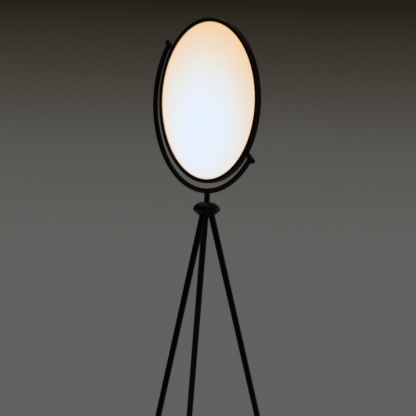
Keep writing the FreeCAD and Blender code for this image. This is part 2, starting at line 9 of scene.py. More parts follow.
import json
import logging
import math
from dataclasses import dataclass, field
from enum import Enum
from typing import Callable, Iterable, Sequence, Union

import bmesh
import bpy
from mathutils import Matrix, Vector

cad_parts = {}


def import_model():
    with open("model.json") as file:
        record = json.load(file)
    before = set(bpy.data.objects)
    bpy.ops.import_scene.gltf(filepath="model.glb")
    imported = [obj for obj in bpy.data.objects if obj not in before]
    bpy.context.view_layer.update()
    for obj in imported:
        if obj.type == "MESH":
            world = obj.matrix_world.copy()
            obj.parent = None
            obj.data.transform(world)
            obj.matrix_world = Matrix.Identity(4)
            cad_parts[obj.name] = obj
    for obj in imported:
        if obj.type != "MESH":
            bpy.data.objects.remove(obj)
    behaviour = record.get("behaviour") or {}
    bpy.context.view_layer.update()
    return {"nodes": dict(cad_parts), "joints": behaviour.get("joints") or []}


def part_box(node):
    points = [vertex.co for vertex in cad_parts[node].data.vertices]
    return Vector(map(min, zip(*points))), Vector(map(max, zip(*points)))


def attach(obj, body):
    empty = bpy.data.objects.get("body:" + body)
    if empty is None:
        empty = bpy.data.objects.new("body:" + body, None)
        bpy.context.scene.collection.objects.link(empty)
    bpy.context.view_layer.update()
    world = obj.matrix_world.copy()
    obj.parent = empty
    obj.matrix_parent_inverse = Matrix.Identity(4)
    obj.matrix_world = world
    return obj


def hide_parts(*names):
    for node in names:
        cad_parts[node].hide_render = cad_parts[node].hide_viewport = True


LOG = logging.getLogger("lamp")
MM = 0.001
UP = Vector((0.0, 0.0, 1.0))
BACK = Vector((0.0, 1.0, 0.0))

# Vertices nearer than this become one, and radii or heights nearer than NEAR count as equal.
TOUCHING = 0.001 * MM
NEAR = 0.01 * MM
# Edges sharper than this many degrees stay crisp.
CREASE = 35.0
# Faces that go round small parts, tubes and the hub.
FEW_STEPS, STEPS, MANY_STEPS = 64, 72, 128

Colour = tuple[float, float, float]
Point2 = tuple[float, float]
Point3 = tuple[float, float, float]
Stops = tuple[tuple[float, Colour], ...]
EdgeTest = Callable[[bmesh.types.BMEdge], bool]


class Body(Enum):
    """The rigid bodies that pieces ride on."""

    TRIPOD = "tripod"
    YOKE = "yoke"
    HEAD = "head"


class Grain(Enum):
    """How the fine lines of a metal finish run."""

    NONE = "none"
    TURNED = "turned"


# ---------------------------------------------------------------- shader maths
class Signal:
    """A number that flows between shader nodes; arithmetic on it adds Math nodes."""

    def __init__(self, graph: Graph, socket: bpy.types.NodeSocket) -> None:
        """Wraps an output socket of a graph."""
        self.graph = graph
        self.socket = socket

    def _math(self, operation: str, *values: Number) -> Signal:
        """Adds one Math node on the given values."""
        settings = {"operation": operation}
        return self.graph.read(0, "ShaderNodeMath", settings, dict(enumerate(values)))

    def __add__(self, other: Number) -> Signal:
        """Adds a number."""
        return self._math("ADD", self, other)

    def __radd__(self, other: Number) -> Signal:
        """Adds to a number."""
        return self._math("ADD", other, self)

    def __sub__(self, other: Number) -> Signal:
        """Takes a number away."""
        return self._math("SUBTRACT", self, other)

    def __rsub__(self, other: Number) -> Signal:
        """Takes this away from a number."""
        return self._math("SUBTRACT", other, self)

    def __mul__(self, other: Number) -> Signal:
        """Multiplies by a number."""
        return self._math("MULTIPLY", self, other)

    def __rmul__(self, other: Number) -> Signal:
        """Multiplies a number."""
        return self._math("MULTIPLY", other, self)

    def __truediv__(self, other: Number) -> Signal:
        """Divides by a number."""
        return self._math("DIVIDE", self, other)

    def __pow__(self, other: Number) -> Signal:
        """Raises to a power."""
        return self._math("POWER", self, other)

    def smooth(self, low: float, high: float) -> Signal:
        """A soft step from 0 at low to 1 at high.

        Args:
            low: where the step starts.
            high: where the step ends.

        Returns:
            The stepped signal.
        """
        inputs = {"Value": self, "From Min": low, "From Max": high}
        settings = {"interpolation_type": "SMOOTHSTEP"}
        return self.graph.read("Result", "ShaderNodeMapRange", settings, inputs)

    def between(self, low: float, high: float) -> Signal:
        """Makes a signal that runs from 0 to 1 run from low to high."""
        return self * (high - low) + low


Number = Union[float, Signal]


class Graph:
    """The node tree of a material or the world, with short ways to add nodes to it."""

    def __init__(self, owner: bpy.types.Material | bpy.types.World) -> None:
        """Clears the owner's nodes and starts a fresh tree.

        Args:
            owner: the material or world that the tree belongs to.
        """
        owner.use_nodes = True
        self.tree = owner.node_tree
        self.tree.nodes.clear()

    def node(self, kind: str, settings: dict, inputs: dict) -> bpy.types.Node:
        """Adds one node.

        Args:
            kind: the node's type.
            settings: its own properties, or "stops" for a colour ramp.
            inputs: numbers, colours, sockets or signals by input name or place.

        Returns:
            The new node.
        """
        made = self.tree.nodes.new(kind)
        for name, value in settings.items():
            if name == "stops":
                self._set_stops(made, value)
            else:
                setattr(made, name, value)
        for key, value in inputs.items():
            if isinstance(value, Signal):
                self.tree.links.new(value.socket, made.inputs[key])
            elif isinstance(value, bpy.types.NodeSocket):
                self.tree.links.new(value, made.inputs[key])
            else:
                made.inputs[key].default_value = value
        return made

    @staticmethod
    def _set_stops(ramp: bpy.types.Node, stops: Stops) -> None:
        """Sets a colour ramp's stops.

        Args:
            ramp: the ramp's node.
            stops: the places and colours.
        """
        elements = ramp.color_ramp.elements
        while len(elements) < len(stops):
            elements.new(1.0)
        for element, (place, colour) in zip(elements, stops):
            element.position = place
            element.color = (*colour, 1.0)

    def read(self, output: int | str, kind: str, settings: dict, inputs: dict) -> Signal:
        """Adds one node and gives one of its outputs as a signal."""
        return Signal(self, self.node(kind, settings, inputs).outputs[output])

    def place(self, centre: Sequence[float] = (0, 0, 0)) -> bpy.types.NodeSocket:
        """Object coordinates counted from a centre.

        Args:
            centre: the point that becomes the pattern's origin.

        Returns:
            The vector socket.
        """
        coordinates = self.node("ShaderNodeTexCoord", {}, {})
        inputs = {"Vector": coordinates.outputs["Object"], "Location": centre}
        mapping = self.node("ShaderNodeMapping", {"vector_type": "TEXTURE"}, inputs)
        return mapping.outputs["Vector"]

    def split(self, vector: bpy.types.NodeSocket) -> list[Signal]:
        """The X, Y and Z of a vector."""
        node = self.node("ShaderNodeSeparateXYZ", {}, {"Vector": vector})
        return [Signal(self, node.outputs[name]) for name in "XYZ"]

    def stretch(self, vector: bpy.types.NodeSocket, by: Sequence[float]) -> bpy.types.NodeSocket:
        """A vector with each axis scaled by its own number."""
        node = self.node("ShaderNodeVectorMath", {"operation": "MULTIPLY"}, {0: vector, 1: by})
        return node.outputs["Vector"]

    def length(self, vector: bpy.types.NodeSocket) -> Signal:
        """The length of a vector."""
        return self.read("Value", "ShaderNodeVectorMath", {"operation": "LENGTH"}, {0: vector})

    def noise(self, vector: bpy.types.NodeSocket, scale: float, detail: float = 3.0) -> Signal:
        """Soft noise from 0 to 1 over a vector."""
        inputs = {"Vector": vector, "Scale": scale, "Detail": detail}
        return self.read("Fac", "ShaderNodeTexNoise", {}, inputs)

    def lines(self, along: Signal, scale: float) -> Signal:
        """Noise that varies along one number only, for turned lines."""
        inputs = {"W": along, "Scale": scale, "Detail": 4.0}
        return self.read("Fac", "ShaderNodeTexNoise", {"noise_dimensions": "1D"}, inputs)

    def cells(self, vector: bpy.types.NodeSocket, scale: float) -> Signal:
        """The distance to the nearest of scattered points."""
        inputs = {"Vector": vector, "Scale": scale}
        return self.read("Distance", "ShaderNodeTexVoronoi", {}, inputs)

    def ramp(self, value: Signal, stops: Stops) -> bpy.types.NodeSocket:
        """A colour read from stops along a number."""
        node = self.node("ShaderNodeValToRGB", {"stops": stops}, {"Fac": value})
        return node.outputs["Color"]

    def blend(self, share: Signal, first: object, second: object) -> bpy.types.NodeSocket:
        """A mix of two colours.

        Args:
            share: how much of the second colour there is.
            first: a colour or a colour socket.
            second: a colour or a colour socket.

        Returns:
            The mixed colour's socket.
        """
        colours = {"A": first, "B": second}
        node = self.node("ShaderNodeMix", {"data_type": "RGBA"}, {0: share})
        for name, colour in colours.items():
            socket = next(s for s in node.inputs if s.name == name and s.type == "RGBA")
            if isinstance(colour, bpy.types.NodeSocket):
                self.tree.links.new(colour, socket)
            else:
                socket.default_value = (*colour, 1.0)
        return next(s for s in node.outputs if s.type == "RGBA")

    def bump(self, height: Signal, depth: float, strength: float = 1.0) -> bpy.types.NodeSocket:
        """A normal that shows a height in metres times depth."""
        inputs = {"Height": height, "Distance": depth, "Strength": strength}
        return self.node("ShaderNodeBump", {}, inputs).outputs["Normal"]

    def surface(self, inputs: dict) -> None:
        """Ends the tree in one principled shader with the given inputs."""
        shader = self.node("ShaderNodeBsdfPrincipled", {}, inputs)
        self.node("ShaderNodeOutputMaterial", {}, {"Surface": shader.outputs["BSDF"]})


# ---------------------------------------------------------------- finishes
@dataclass(frozen=True)
class Finish:
    """A finish that can be put on a piece.

    Attributes:
        name: the material's name.
        slot: the record's material slot that it belongs to; not used.
    """

    name: str
    slot: str

    def material(self) -> bpy.types.Material:
        """The finish's material, made once and then shared.

        Returns:
            The material.
        """
        found = bpy.data.materials.get(self.name)
        if found is None:
            found = bpy.data.materials.new(self.name)
            self.build(Graph(found))
        return found

    def build(self, graph: Graph) -> None:
        """Fills the material's node tree."""
        raise NotImplementedError


@dataclass(frozen=True)
class BlackCoat(Finish):
    """Black coating on metal: fine orange-peel grain, soft cloudy gloss and faint dust.

    Attributes:
        dark: the colour where the coat is clean.
        light: the colour where it is rubbed or dusty.
        gloss: the lowest and highest roughness.
        grain_scale: grains to the metre.
        grain_depth: height of the grain, in metres.
        sheen: strength of the mirror-like share of its light.
        lines: which way fine machining lines run under the coat.
        centre: the axis point of turned lines.
        axis: the axis of turned lines.
        dust: the colour of the specks of dust.
        cloud_scale: clouds to the metre.
        smudge_scale: smudges to the metre.
        dust_scale: specks to the metre.
        ring_scale: turned lines to the metre.
    """

    dark: Colour = (0.0030, 0.0028, 0.0021)
    light: Colour = (0.0075, 0.0070, 0.0052)
    gloss: Point2 = (0.34, 0.50)
    grain_scale: float = 750.0
    grain_depth: float = 0.14 * MM
    sheen: float = 0.22
    lines: Grain = Grain.NONE
    centre: Point3 = (0.0, 0.0, 0.0)
    axis: Point3 = (0.0, 0.0, 1.0)
    dust: Colour = (0.03, 0.029, 0.025)
    cloud_scale: float = 14.0
    smudge_scale: float = 60.0
    dust_scale: float = 260.0
    ring_scale: float = 2600.0

    def build(self, graph: Graph) -> None:
        """Layers clouds, grain, lines and specks of dust.

        Args:
            graph: the material's empty tree.
        """
        place = graph.place(self.centre)
        clouds = graph.noise(place, self.cloud_scale, 4.0)
        smudges = graph.noise(place, self.smudge_scale, 2.0).smooth(0.45, 0.75)
        grain = graph.noise(place, self.grain_scale, 2.0)
        specks = 1.0 - graph.cells(place, self.dust_scale).smooth(0.05, 0.12)
        fine = graph.noise(place, self.grain_scale * 3.0, 1.0)
        height = grain + fine * 0.3
        rough = clouds.between(*self.gloss) + smudges * 0.08
        if self.lines is not Grain.NONE:
            across = tuple(1.0 - abs(part) for part in self.axis)
            radius = graph.length(graph.stretch(place, across))
            rings = graph.lines(radius, self.ring_scale)
            height = grain * 0.3 + rings * 0.9
            rough = rough + rings * 0.14
        tint = graph.blend(clouds.smooth(0.35, 0.75) * 0.7, self.dark, self.light)
        tint = graph.blend(specks * clouds * 0.25, tint, self.dust)
        graph.surface({
            "Base Color": tint,
            "Roughness": rough,
            "Normal": graph.bump(height, self.grain_depth),
            "Specular IOR Level": self.sheen,
        })


@dataclass(frozen=True)
class LitOpal(Finish):
    """Opal acrylic lit from its edge: cool in the lower middle, warm towards its rim.

    Attributes:
        centre: the disc's centre.
        radius: the radius of the opening that shows it.
        cool_spot: where the coolest light is, in shares of the radius.
        spread: how far the light takes to turn fully warm, in shares of the radius.
        falloff: how late the warmth sets in.
        base: the acrylic's own colour under the light.
        strength: how bright it shines.
        stops: the light's colours from coolest to warmest.
        edge_light: the colour of the bright rim of the face.
        edge_reach: where that rim starts and is full, in shares of the radius.
        edge_rise: the heights between which it grows, in shares of the radius.
        edge_least: how much of it is left at the bottom.
    """

    centre: Point3 = (0.0, 0.0, 1.4)
    radius: float = 0.1906
    cool_spot: Point2 = (-0.15, -0.35)
    spread: float = 1.30
    falloff: float = 2.2
    base: Colour = (0.10, 0.10, 0.10)
    strength: float = 1.0
    stops: Stops = (
        (0.00, (0.790, 0.875, 1.000)),
        (0.33, (0.820, 0.815, 0.776)),
        (0.60, (0.855, 0.730, 0.604)),
        (1.00, (0.896, 0.651, 0.418)),
    )
    edge_light: Colour = (1.00, 0.58, 0.22)
    edge_reach: Point2 = (0.962, 0.998)
    edge_rise: Point2 = (-0.95, -0.30)
    edge_least: float = 0.4

    def build(self, graph: Graph) -> None:
        """Maps the light's colour over the face and adds the bright warm edge.

        Args:
            graph: the material's empty tree.
        """
        place = graph.stretch(graph.place(self.centre), [1.0 / self.radius] * 3)
        across, _, upward = graph.split(place)
        away_x = (across - self.cool_spot[0]) / self.spread
        away_z = (upward - self.cool_spot[1]) / self.spread
        away = (away_x ** 2.0 + away_z ** 2.0) ** 0.5
        warmth = away ** self.falloff
        glow = graph.ramp(warmth, self.stops)
        out = graph.length(graph.stretch(place, (1.0, 0.0, 1.0)))
        grown = upward.smooth(*self.edge_rise).between(self.edge_least, 1.0)
        spill = out.smooth(*self.edge_reach) * grown
        glow = graph.blend(spill, glow, self.edge_light)
        haze = graph.noise(place, 9.0, 2.0)
        graph.surface({
            "Base Color": (*self.base, 1.0),
            "Roughness": haze * 0.1 + 0.38,
            "Emission Color": glow,
            "Emission Strength": self.strength,
            "Normal": graph.bump(graph.noise(place, 700.0, 1.0), 0.01 * MM),
        })


@dataclass(frozen=True)
class PlainMetal(Finish):
    """Bare metal with fine lines and cloudy roughness.

    Attributes:
        bright: the metal's colour.
        dull: its colour where it has dulled.
        gloss: the lowest and highest roughness.
        cloud_scale: clouds to the metre.
        streak: streaks to the metre along X, Y and Z.
    """

    bright: Colour = (0.62, 0.62, 0.60)
    dull: Colour = (0.45, 0.45, 0.44)
    gloss: Point2 = (0.25, 0.45)
    cloud_scale: float = 90.0
    streak: Point3 = (40.0, 40.0, 1500.0)

    def build(self, graph: Graph) -> None:
        """Layers clouds and fine lines.

        Args:
            graph: the material's empty tree.
        """
        place = graph.place()
        clouds = graph.noise(place, self.cloud_scale, 3.0)
        streaks = graph.noise(graph.stretch(place, self.streak), 1.0, 2.0)
        rough = clouds.between(*self.gloss) + streaks * 0.08
        graph.surface({
            "Base Color": graph.blend(clouds.smooth(0.3, 0.8), self.bright, self.dull),
            "Metallic": 1.0,
            "Roughness": rough,
            "Normal": graph.bump(streaks, 0.02 * MM),
        })


@dataclass(frozen=True)
class Moulded(Finish):
    """Moulded plastic, rubber or foam: even colour, a fine texture and soft clouds.

    Attributes:
        tone: the main colour.
        shade: the colour in its darker or worn places.
        gloss: the lowest and highest roughness.
        texture_scale: texture grains to the metre.
        texture_depth: height of the texture, in metres.
        clear: how far light goes through it.
        cloud_scale: clouds to the metre.
    """

    tone: Colour = (0.02, 0.02, 0.02)
    shade: Colour = (0.035, 0.034, 0.032)
    gloss: Point2 = (0.5, 0.7)
    texture_scale: float = 1400.0
    texture_depth: float = 0.04 * MM
    clear: float = 0.0
    cloud_scale: float = 45.0

    def build(self, graph: Graph) -> None:
        """Layers clouds over a fine moulded texture.

        Args:
            graph: the material's empty tree.
        """
        place = graph.place()
        clouds = graph.noise(place, self.cloud_scale, 4.0)
        texture = graph.noise(place, self.texture_scale, 2.0)
        graph.surface({
            "Base Color": graph.blend(clouds.smooth(0.35, 0.8), self.tone, self.shade),
            "Roughness": clouds.between(*self.gloss),
            "Normal": graph.bump(texture, self.texture_depth),
            "Transmission Weight": self.clear,
        })


@dataclass(frozen=True)
class StudioFloor(Finish):
    """A plain pale floor with the faintest mottling.

    Attributes:
        tone: its main colour.
        shade: the colour of its darker patches.
        patch_scale: patches to the metre.
        speckle_scale: specks to the metre.
    """

    tone: Colour = (0.80, 0.80, 0.79)
    shade: Colour = (0.77, 0.77, 0.76)
    patch_scale: float = 1.6
    speckle_scale: float = 120.0

    def build(self, graph: Graph) -> None:
        """Mixes two close tones.

        Args:
            graph: the material's empty tree.
        """
        place = graph.place()
        mottling = graph.noise(place, self.patch_scale, 4.0)
        graph.surface({
            "Base Color": graph.blend(mottling.smooth(0.3, 0.7), self.tone, self.shade),
            "Roughness": mottling * 0.1 + 0.7,
            "Normal": graph.bump(graph.noise(place, self.speckle_scale, 2.0), 0.1 * MM),
            "Specular IOR Level": 0.0,
        })


POWDER_COAT = BlackCoat("powder_coat", "black_metal")
ZINC_STEEL = PlainMetal("zinc_steel", "steel")
TURNED_BRASS = PlainMetal("turned_brass", "brass", (0.78, 0.58, 0.27), (0.55, 0.40, 0.18))
MILL_ALUMINIUM = PlainMetal("mill_aluminium", "aluminium", (0.75, 0.75, 0.76), (0.6, 0.6, 0.61))
BLACK_NYLON = Moulded(
    "black_nylon", "nylon", (0.014, 0.014, 0.013), (0.022, 0.021, 0.02), (0.4, 0.55))
BLACK_RUBBER = Moulded(
    "black_rubber", "rubber", (0.016, 0.016, 0.015), (0.04, 0.039, 0.036), (0.65, 0.85))
CLEAR_ACRYLIC = Moulded(
    "clear_acrylic", "clear_acrylic", (0.9, 0.95, 0.97), (0.86, 0.92, 0.94), (0.03, 0.08),
    clear=0.9)
WHITE_FILM = Moulded(
    "white_film", "white_film", (0.93, 0.93, 0.93), (0.88, 0.88, 0.87), (0.6, 0.75))
GREY_FOAM = Moulded(
    "grey_foam", "foam", (0.33, 0.33, 0.34), (0.24, 0.24, 0.25), (0.85, 0.95), 600.0, 0.4 * MM)
BOARD_MASK = Moulded(
    "board_mask", "circuit_board", (0.86, 0.87, 0.84), (0.80, 0.81, 0.78), (0.3, 0.4))
PHOSPHOR_GEL = Moulded(
    "phosphor_gel", "phosphor", (0.9, 0.78, 0.2), (0.85, 0.7, 0.15), (0.15, 0.25))
WIRE_SKIN = Moulded(
    "wire_skin", "wire_insulation", (0.03, 0.03, 0.03), (0.05, 0.05, 0.05), (0.45, 0.6))


# ---------------------------------------------------------------- shaping
def arc(centre: Point2, radii: Point2, start: float, end: float, count: int) -> list[Point2]:
    """Points along an upright ellipse's arc.

    Args:
        centre: the ellipse's centre.
        radii: its half width and half height.
        start: the first point's angle in degrees.
        end: the last point's angle in degrees.
        count: how many points there are.

    Returns:
        The points, as radius and height.
    """
    points = []
    for index in range(count):
        angle = math.radians(start + (end - start) * index / (count - 1))
        across, up = radii[0] * math.cos(angle), radii[1] * math.sin(angle)
        points.append((centre[0] + across, centre[1] + up))
    return points


def along(start: Vector, direction: Vector) -> Matrix:
    """The placing of a turned piece whose own Z axis is to run from start along direction."""
    turn = direction.normalized().to_track_quat("Z", "Y").to_matrix().to_4x4()
    return Matrix.Translation(start) @ turn


def heading(azimuth: float) -> Vector:
    """The level direction at an azimuth in degrees."""
    turn = math.radians(azimuth)
    return Vector((math.cos(turn), math.sin(turn), 0.0))


def sleeve(inner: float, outer: float, low: float, high: float) -> list[Point2]:
    """The outline of a straight sleeve, or of a solid bar where inner is 0."""
    return [(inner, low), (outer, low), (outer, high), (inner, high)]


def on_circle(radius: float) -> EdgeTest:
    """A test for edges that run round the axis at a radius."""
    return lambda edge: all(abs(v.co.xy.length - radius) < NEAR for v in edge.verts)


def at_level(height: float, slack: float = NEAR) -> EdgeTest:
    """A test for edges that lie at a height."""
    return lambda edge: all(abs(v.co.z - height) < slack for v in edge.verts)


def beyond(radius: float) -> EdgeTest:
    """A test for edges that lie wholly further out than a radius."""
    return lambda edge: all(v.co.xy.length > radius for v in edge.verts)


def side_name(upper: bool) -> str:
    """The name of a pivot's side."""
    return "upper" if upper else "lower"


def show(name: str, data: bpy.types.ID) -> bpy.types.Object:
    """Makes an object of some data and puts it in the scene.

    Args:
        name: the object's name.
        data: its mesh, light or camera.

    Returns:
        The object.
    """
    made = bpy.data.objects.new(name, data)
    bpy.context.scene.collection.objects.link(made)
    return made


class Shape:
    """A mesh being shaped, which becomes a finished piece when it is dressed."""

    def __init__(self, name: str) -> None:
        """Starts an empty mesh with the piece's name."""
        self.name = name
        self.mesh = bmesh.new()

    @classmethod
    def turned(cls, name: str, outline: Sequence[Point2], steps: int = FEW_STEPS) -> Shape:
        """A solid of revolution about Z.

        Args:
            name: the piece's name.
            outline: radius and height of its points; it closes on itself unless both ends
                lie on the axis.
            steps: how many faces go round.

        Returns:
            The turned shape.
        """
        shape = cls(name)
        bm = shape.mesh
        verts = [bm.verts.new((radius, 0.0, height)) for radius, height in outline]
        for first, second in zip(verts, verts[1:]):
            bm.edges.new((first, second))
        if outline[0][0] > 0.0 or outline[-1][0] > 0.0:
            bm.edges.new((verts[-1], verts[0]))
        bmesh.ops.spin(
            bm, geom=bm.verts[:] + bm.edges[:], cent=(0, 0, 0), axis=(0, 0, 1),
            dvec=(0, 0, 0), angle=math.tau, steps=steps, use_merge=True,
        )
        return shape.tidied()

    def tidied(self) -> Shape:
        """Merges doubles and turns every face outwards.

        Returns:
            The same shape.
        """
        bmesh.ops.remove_doubles(self.mesh, verts=self.mesh.verts[:], dist=TOUCHING)
        bmesh.ops.recalc_face_normals(self.mesh, faces=self.mesh.faces[:])
        return self

    def bevel(self, width: float, segments: int = 3, sharper_than: float = CREASE,
              where: EdgeTest | None = None) -> Shape:
        """Rounds the sharp edges.

        Args:
            width: how far the rounding reaches from the edge.
            segments: how many faces it has.
            sharper_than: the least angle in degrees of an edge that is rounded.
            where: keeps only the edges for which it is true.

        Returns:
            The same shape.
        """
        limit = math.radians(sharper_than)
        edges = [e for e in self.mesh.edges if e.calc_face_angle(0.0) > limit]
        if where is not None:
            edges = [e for e in edges if where(e)]
        bmesh.ops.bevel(
            self.mesh, geom=edges, offset=width, offset_type="OFFSET", segments=segments,
            profile=0.5, affect="EDGES", clamp_overlap=True, material=-1,
        )
        return self

    def put(self, matrix: Matrix) -> Shape:
        """Moves the whole mesh to its place."""
        self.mesh.transform(matrix)
        return self

    def raised(self, height: float) -> Shape:
        """Lifts the whole mesh."""
        return self.put(Matrix.Translation(UP * height))

    def add(self, other: Shape) -> Shape:
        """Takes in another shape's mesh as a separate shell.

        Args:
            other: the shape to take in, used up by it.

        Returns:
            The same shape.
        """
        spare = bpy.data.meshes.new("spare")
        other.mesh.to_mesh(spare)
        self.mesh.from_mesh(spare)
        other.mesh.free()
        bpy.data.meshes.remove(spare)
        return self

    def cut_below(self, height: float) -> Shape:
        """Cuts away what lies below a level and closes the cut.

        Args:
            height: the level.

        Returns:
            The same shape.
        """
        bm = self.mesh
        geom = bm.verts[:] + bm.edges[:] + bm.faces[:]
        cut = bmesh.ops.bisect_plane(
            bm, geom=geom, dist=0.0001 * MM, plane_co=(0, 0, height), plane_no=(0, 0, -1),
            clear_outer=True,
        )
        edges = [g for g in cut["geom_cut"] if isinstance(g, bmesh.types.BMEdge)]
        bmesh.ops.contextual_create(bm, geom=edges)
        return self.tidied()

    def carve(self, cutters: Iterable[Shape]) -> Shape:
        """Takes the cutters' volume away from this shape.

        Args:
            cutters: closed shapes, used up by the cut.

        Returns:
            The same shape, cut.
        """
        stock = self._loose_object("stock", self)
        tools = [self._loose_object("tool", cutter) for cutter in cutters]
        for tool in tools:
            change = stock.modifiers.new("cut", "BOOLEAN")
            change.operation = "DIFFERENCE"
            change.solver = "EXACT"
            change.object = tool
        bpy.context.view_layer.update()
        graph = bpy.context.evaluated_depsgraph_get()
        result = bpy.data.meshes.new_from_object(stock.evaluated_get(graph))
        self.mesh = bmesh.new()
        self.mesh.from_mesh(result)
        bpy.data.meshes.remove(result)
        for loose in [stock, *tools]:
            spare = loose.data
            bpy.data.objects.remove(loose)
            bpy.data.meshes.remove(spare)
        return self

    @staticmethod
    def _loose_object(name: str, shape: Shape) -> bpy.types.Object:
        """Puts a shape in the scene for a moment.

        Args:
            name: the object's name.
            shape: the shape, used up by it.

        Returns:
            The object.
        """
        data = bpy.data.meshes.new(name)
        shape.mesh.to_mesh(data)
        shape.mesh.free()
        return show(name, data)

    def dress(self, finish: Finish, body: Body, replaces: Sequence[str]) -> bpy.types.Object:
        """Makes the finished piece, sets it on its body and hides the nodes that it stands for.

        Args:
            finish: the piece's finish.
            body: the body that it rides on.
            replaces: the nodes that it stands for.

        Returns:
            The piece's object.
        """
        data = bpy.data.meshes.new(self.name)
        self.mesh.to_mesh(data)
        self.mesh.free()
        data.shade_smooth()
        data.set_sharp_from_angle(angle=math.radians(CREASE))
        data.materials.append(finish.material())
        piece = show(self.name, data)
        even = piece.modifiers.new("even_shading", "WEIGHTED_NORMAL")
        even.keep_sharp = True
        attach(piece, body.value)
        if replaces:
            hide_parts(*replaces)
        faces = len(data.polygons)
        LOG.info("%s: %d faces, %s, on %s", self.name, faces, finish.name, body.value)
        return piece


def redress(nodes: dict[str, bpy.types.Object], names: Iterable[str], finish: Finish) -> None:
    """Gives carried-over nodes their finish.

    Args:
        nodes: the frame's nodes by name.
        names: the nodes to dress.
        finish: what they get.
    """
    for name in names:
        slots = nodes[name].data.materials
        slots.clear()
        slots.append(finish.material())
        LOG.info("%s: carried over, %s", name, finish.name)


# ---------------------------------------------------------------- the lamp
# A groove of the cable entry: how far along it is and how deep, in shares of a rib.
GROOVE = ((0.0, 0.0), (0.3, 0.6), (0.8, 0.6), (1.1, 0.0))


@dataclass
class Pivots:
    """The inclined axis that the head turns on, and its two ends.

    Attributes:
        centre: the disc's centre.
        axis: the direction from the centre to the upper pivot.
        head_turn: how far the head stands turned, in degrees.
    """

    centre: Vector
    axis: Vector
    head_turn: float = -1.3

    def end(self, upper: bool) -> Vector:
        """The direction from the centre to one of the pivots."""
        return self.axis if upper else -self.axis

    def at(self, upper: bool, distance: float) -> Vector:
        """A point on the axis towards one pivot."""
        return self.centre + self.end(upper) * distance

    def head_place(self) -> Matrix:
        """The placing of head pieces, whose own Z runs to the back.

        Returns:
            The matrix.
        """
        turn = Matrix.Rotation(math.radians(self.head_turn), 4, self.axis)
        lay = Matrix.Rotation(math.radians(-90.0), 4, "X")
        return Matrix.Translation(self.centre) @ turn @ lay


@dataclass
class Head:
    """The flat round panel: rim, lit face, back and what lies between them."""

    pivots: Pivots
    nodes: dict[str, bpy.types.Object]
    radius: float = 200.0 * MM
    thickness: float = 13.0 * MM
    face_width: float = 9.4 * MM
    recess: float = 3.3 * MM
    wall: float = 2.4 * MM
    lap: float = 1.2 * MM
    diffuser_thickness: float = 2.0 * MM
    edge_round: float = 0.6 * MM
    lip_round: float = 0.35 * MM
    pan_thickness: float = 1.2 * MM
    post_radius: float = 2.2 * MM
    post_clearance: float = 0.4 * MM
    post_count: int = 8
    post_start: float = 17.5
    post_steps: int = 24
    face_rings: int = 8
    around: int = 256

    def build(self) -> None:
        """Builds every piece of the head."""
        self.bezel()
        self.diffuser()
        self.carried_over()

    @property
    def opening(self) -> float:
        """The radius of the opening that shows the lit face."""
        return self.radius - self.face_width

    def bezel(self) -> None:
        """The rim, with its front lip, its side wall and the screw posts behind it."""
        front, back = -self.thickness / 2, self.thickness / 2
        ledge = front + self.recess
        cavity = self.radius - self.wall
        outline = [
            (self.opening, front), (self.radius, front), (self.radius, back),
            (cavity, back), (cavity, ledge), (self.opening, ledge),
        ]
        shape = Shape.turned("rim", outline, self.around)
        shape.bevel(self.edge_round, 4, where=on_circle(self.radius))
        shape.bevel(self.lip_round, 3, where=on_circle(self.opening))
        post_at = self.opening + self.lap + self.post_clearance + self.post_radius
        post_end = back - self.pan_thickness
        bar = sleeve(0.0, self.post_radius, ledge, post_end)
        for index in range(self.post_count):
            angle = math.radians(self.post_start + index * 360.0 / self.post_count)
            foot = Vector((post_at * math.cos(angle), -post_at * math.sin(angle), 0.0))
            post = Shape.turned("post", bar, self.post_steps)
            shape.add(post.put(Matrix.Translation(foot)))
        coat = BlackCoat(
            "rim_coat", "black_aluminium", gloss=(0.30, 0.44), lines=Grain.TURNED,
            centre=tuple(self.pivots.centre), axis=(0.0, 1.0, 0.0),
        )
        shape.put(self.pivots.head_place()).dress(coat, Body.HEAD, ["bezel"])

    def diffuser(self) -> None:
        """The opal sheet that shows the light."""
        front = -self.thickness / 2 + self.recess
        back = front + self.diffuser_thickness
        edge = self.opening + self.lap
        rings = self.face_rings
        outline = [(0.0, front), *((edge * index / rings, front) for index in range(1, rings + 1))]
        outline += [(edge, back), (0.0, back)]
        shape = Shape.turned("opal_face", outline, self.around)
        shape.bevel(self.lip_round, 2, where=on_circle(edge))
        centre = tuple(self.pivots.centre)
        face = LitOpal("lit_opal", "opal_acrylic", centre=centre, radius=self.opening)
        shape.put(self.pivots.head_place()).dress(face, Body.HEAD, ["diffuser"])

    def carried_over(self) -> None:
        """Finishes for the pieces that keep their shape."""
        # A lighter copy of the black coat for the back pan: painted light that brightens the back
        # of the head, which the studio light leaves dark.
        brightened_back_coat = BlackCoat(
            "brightened_back_coat", "black_metal", (0.0085, 0.0082, 0.0074), (0.017, 0.0165, 0.015),
            gloss=(0.36, 0.52), grain_scale=650.0, grain_depth=0.2 * MM, sheen=0.4,
        )
        looks = {
            "back_pan": brightened_back_coat,
            "upper_pivot_boss lower_pivot_boss": POWDER_COAT,
            "pan_screws upper_pivot_screw lower_pivot_screw": ZINC_STEEL,
            "light_guide": CLEAR_ACRYLIC,
            "reflector_sheet": WHITE_FILM,
            "backing_pad": GREY_FOAM,
            "led_carrier": MILL_ALUMINIUM,
            "led_strip": BOARD_MASK,
            "led_chips": PHOSPHOR_GEL,
            "head_wire": WIRE_SKIN,
        }
        for names, finish in looks.items():
            redress(self.nodes, names.split(), finish)


